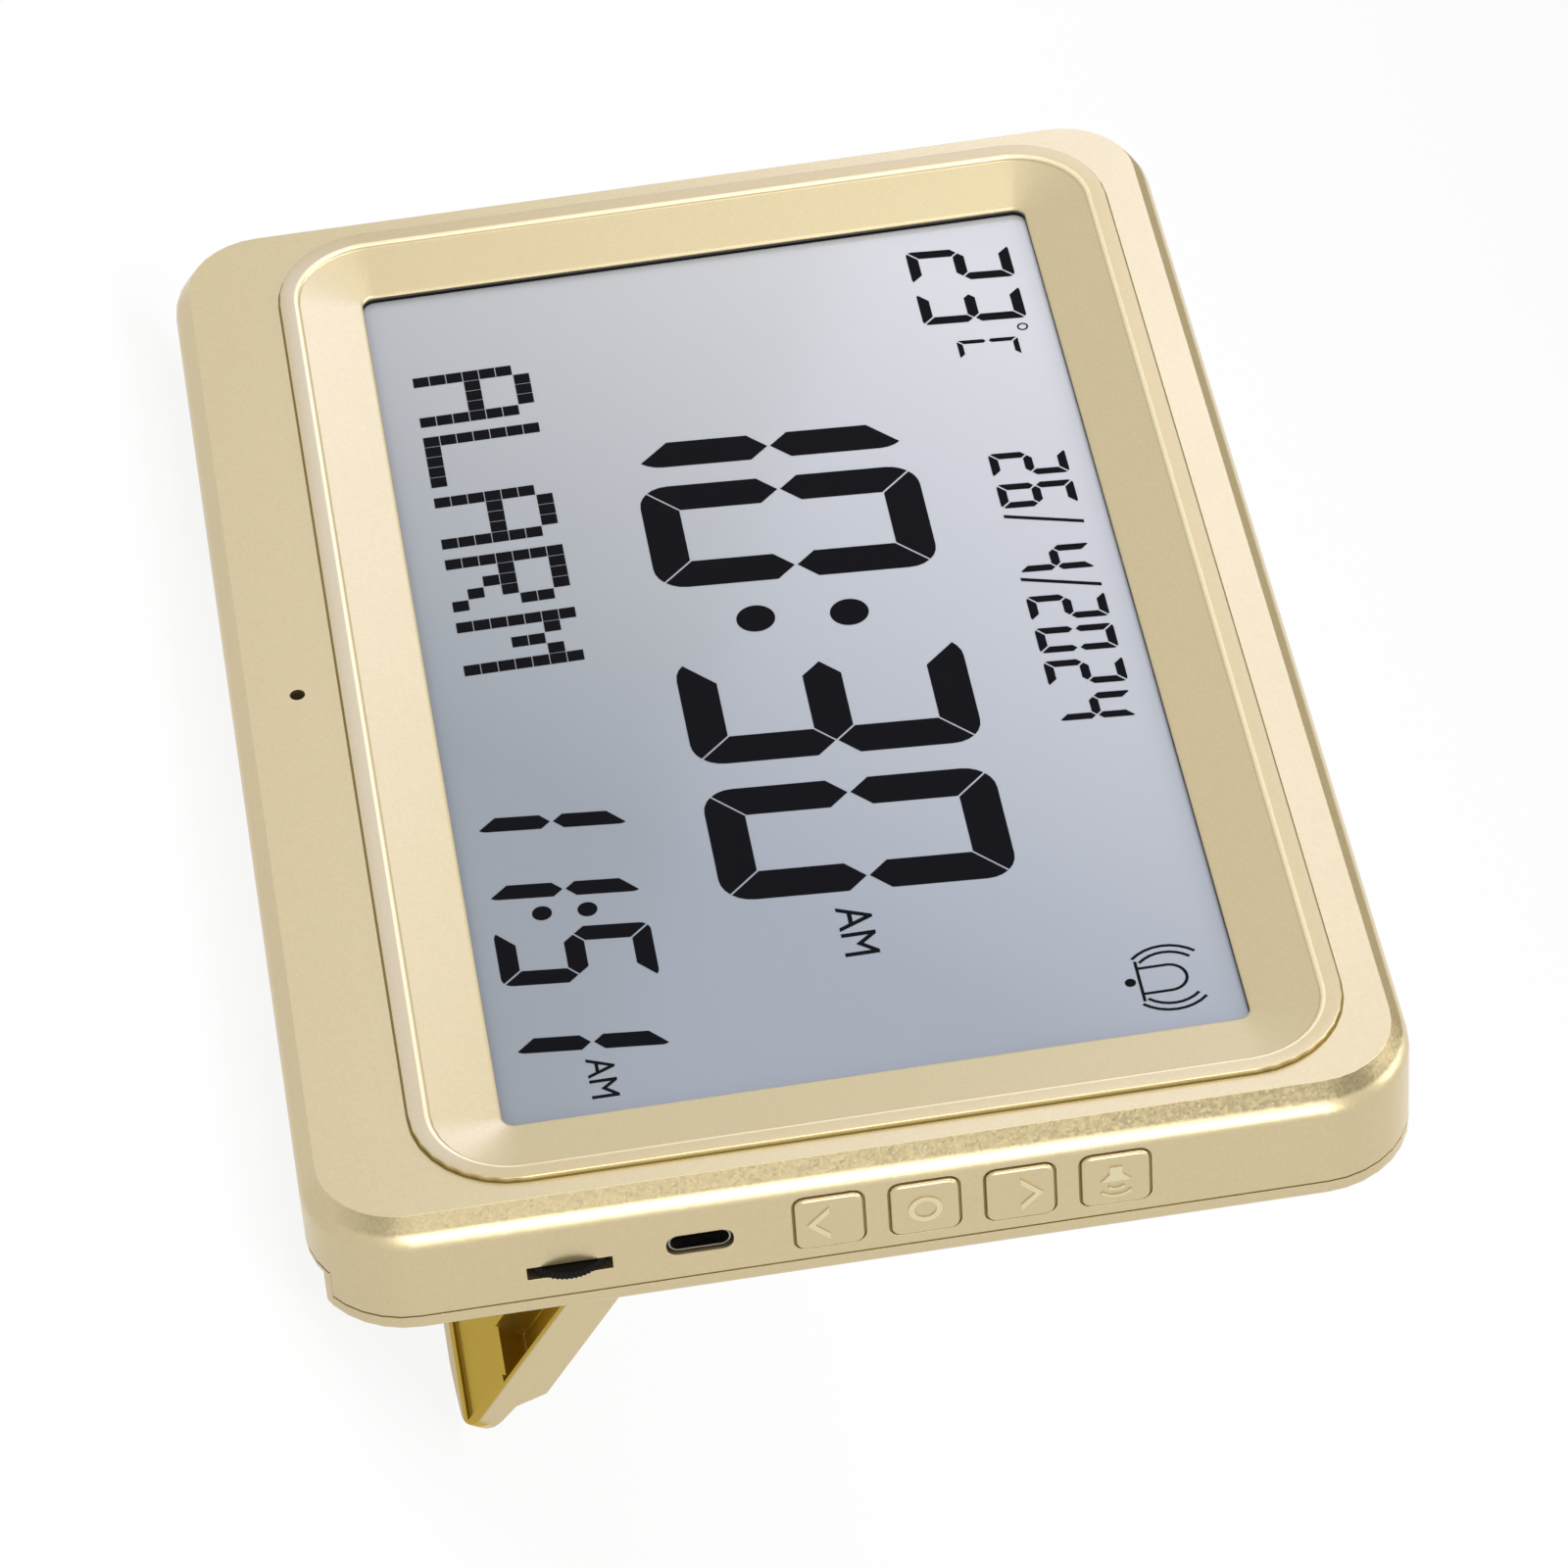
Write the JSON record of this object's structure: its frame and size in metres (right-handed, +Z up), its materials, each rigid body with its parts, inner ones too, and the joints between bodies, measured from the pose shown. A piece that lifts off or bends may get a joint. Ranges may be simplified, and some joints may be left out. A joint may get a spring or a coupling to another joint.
{
  "type": "azan clock",
  "caption": "Wide flat desk clock with a deep framed screen, side buttons, a volume wheel and a power socket, leaning back on ribbed folding feet.",
  "frame": {"origin": "centre of the standing clock's footprint box, on the desk", "axes": "+X to the right seen from the front, -Y towards the viewer, +Z up"},
  "size_m": [0.2258, 0.0894, 0.1477],
  "materials": {
    "champagne_shell": "satin champagne gold paint with fine metallic sparkle",
    "screen_glass": "pale grey-blue reflective screen behind clear glass",
    "clear_acrylic": "clear moulded light guide",
    "white_plastic": "plain moulded",
    "strip_rubber": "striped silicone contact strip",
    "circuit_board": "green solder mask",
    "black_plastic": "moulded",
    "bright_steel": "nickel plated",
    "sensor_lens": "dark tinted lens",
    "speaker_paper": "pressed paper cone",
    "magnet_ferrite": "raw ferrite",
    "battery_foil": "foil pouch",
    "wheel_plastic": "black fine knurl"
  },
  "bodies": {
    "clock": {"front_housing": "champagne_shell", "back_cover": "champagne_shell", "bezel_ring": "champagne_shell", "lcd_panel": "screen_glass", "light_guide": "clear_acrylic", "display_holder": "white_plastic", "lcd_contact_strip": "strip_rubber", "main_board": "circuit_board", "control_chip": "black_plastic", "memory_chip": "black_plastic", "crystal_can": "bright_steel", "thermistor": "black_plastic", "usb_socket_shell": "bright_steel", "usb_socket_tongue": "black_plastic", "volume_sensor": "black_plastic", "light_sensor": "sensor_lens", "light_sensor_board": "circuit_board", "down_switch": "black_plastic", "set_switch": "black_plastic", "up_switch": "black_plastic", "sound_switch": "black_plastic", "board_screw_1": "bright_steel", "board_screw_2": "bright_steel", "board_screw_3": "bright_steel", "board_screw_4": "bright_steel", "speaker_basket": "bright_steel", "speaker_cone": "speaker_paper", "speaker_magnet": "magnet_ferrite", "battery_pack": "battery_foil", "left_foot_pin": "bright_steel", "right_foot_pin": "bright_steel", "back_screw_1": "bright_steel", "back_screw_2": "bright_steel", "back_screw_3": "bright_steel", "back_screw_4": "bright_steel", "back_screw_5": "bright_steel"},
    "left_leg": {"left_foot": "champagne_shell"},
    "right_leg": {"right_foot": "champagne_shell"},
    "wheel": {"volume_wheel": "wheel_plastic"},
    "down_key": {"down_button": "champagne_shell"},
    "set_key": {"set_button": "champagne_shell"},
    "up_key": {"up_button": "champagne_shell"},
    "sound_key": {"sound_button": "champagne_shell"}
  },
  "joints": [
    {"name": "left_foot_hinge", "type": "hinge", "parent": "clock", "child": "left_leg", "pos_m": [-0.07988, -0.00797, 0.04233], "axis": [1, 0, 0], "range_deg": [-56.6, 0]},
    {"name": "right_foot_hinge", "type": "hinge", "parent": "clock", "child": "right_leg", "pos_m": [0.07812, -0.00797, 0.04233], "axis": [1, 0, 0], "range_deg": [-56.6, 0]},
    {"name": "volume_turn", "type": "hinge", "parent": "clock", "child": "wheel", "pos_m": [0.10637, -0.01844, 0.03529], "axis": [0, 0.8886, -0.4587], "range_deg": [-140, 140]},
    {"name": "down_press", "type": "slide", "parent": "clock", "child": "down_key", "axis": [-1, 0, 0], "range_m": [0, 0.0006], "stiffness_N_per_m": 1500, "springref_m": -0.0003},
    {"name": "set_press", "type": "slide", "parent": "clock", "child": "set_key", "axis": [-1, 0, 0], "range_m": [0, 0.0006], "stiffness_N_per_m": 1500, "springref_m": -0.0003},
    {"name": "up_press", "type": "slide", "parent": "clock", "child": "up_key", "axis": [-1, 0, 0], "range_m": [0, 0.0006], "stiffness_N_per_m": 1500, "springref_m": -0.0003},
    {"name": "sound_press", "type": "slide", "parent": "clock", "child": "sound_key", "axis": [-1, 0, 0], "range_m": [0, 0.0006], "stiffness_N_per_m": 1500, "springref_m": -0.0003}
  ]
}
